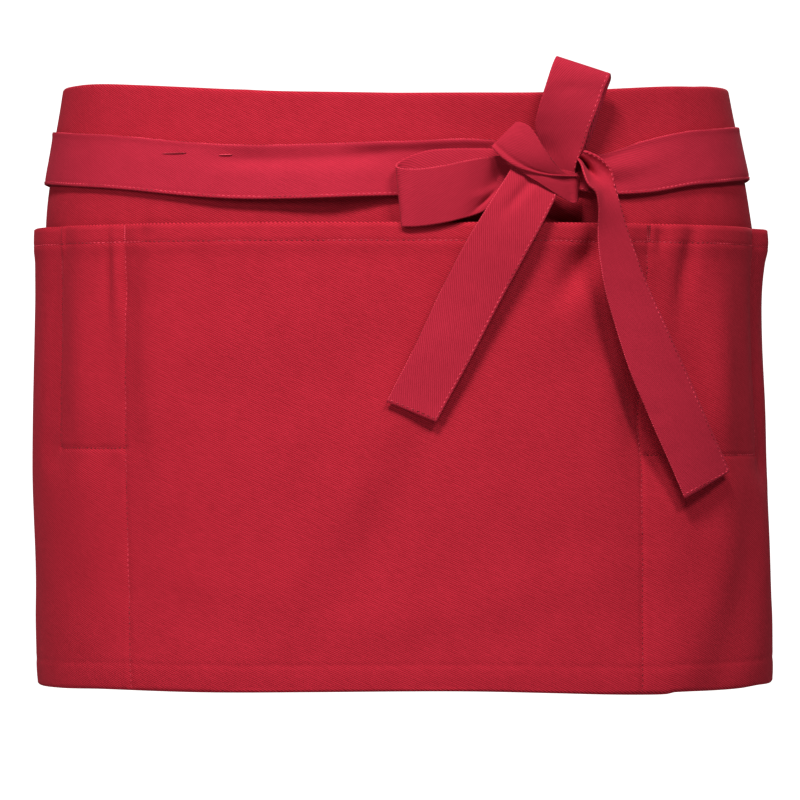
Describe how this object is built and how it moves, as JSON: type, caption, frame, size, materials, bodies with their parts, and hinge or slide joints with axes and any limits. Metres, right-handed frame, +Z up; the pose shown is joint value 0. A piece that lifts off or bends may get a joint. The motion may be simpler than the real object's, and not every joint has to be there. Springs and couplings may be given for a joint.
{
  "type": "short apron",
  "caption": "Short waist apron of plain red twill with a folded waistband, a row of front pockets and flat ties crossed behind and tied in a bow at the front.",
  "frame": {"origin": "centre of the waist opening, half way up the waistband at the front", "axes": "+X to the right seen from the front, the front faces -Y, +Z up"},
  "size_m": [0.4227, 0.2719, 0.3496],
  "materials": {
    "twill": "matt red twill",
    "tie_twill": "matt red twill, pressed flat"
  },
  "bodies": {
    "root": {"waistband": "twill", "skirt_panel": "twill", "pocket_panel": "twill", "tie_left": "tie_twill", "tie_right": "tie_twill", "bow_loop_left": "tie_twill", "bow_loop_up": "tie_twill", "tail_left": "tie_twill", "tail_right": "tie_twill", "knot_wrap": "tie_twill", "knot_lower": "tie_twill"}
  },
  "joints": []
}
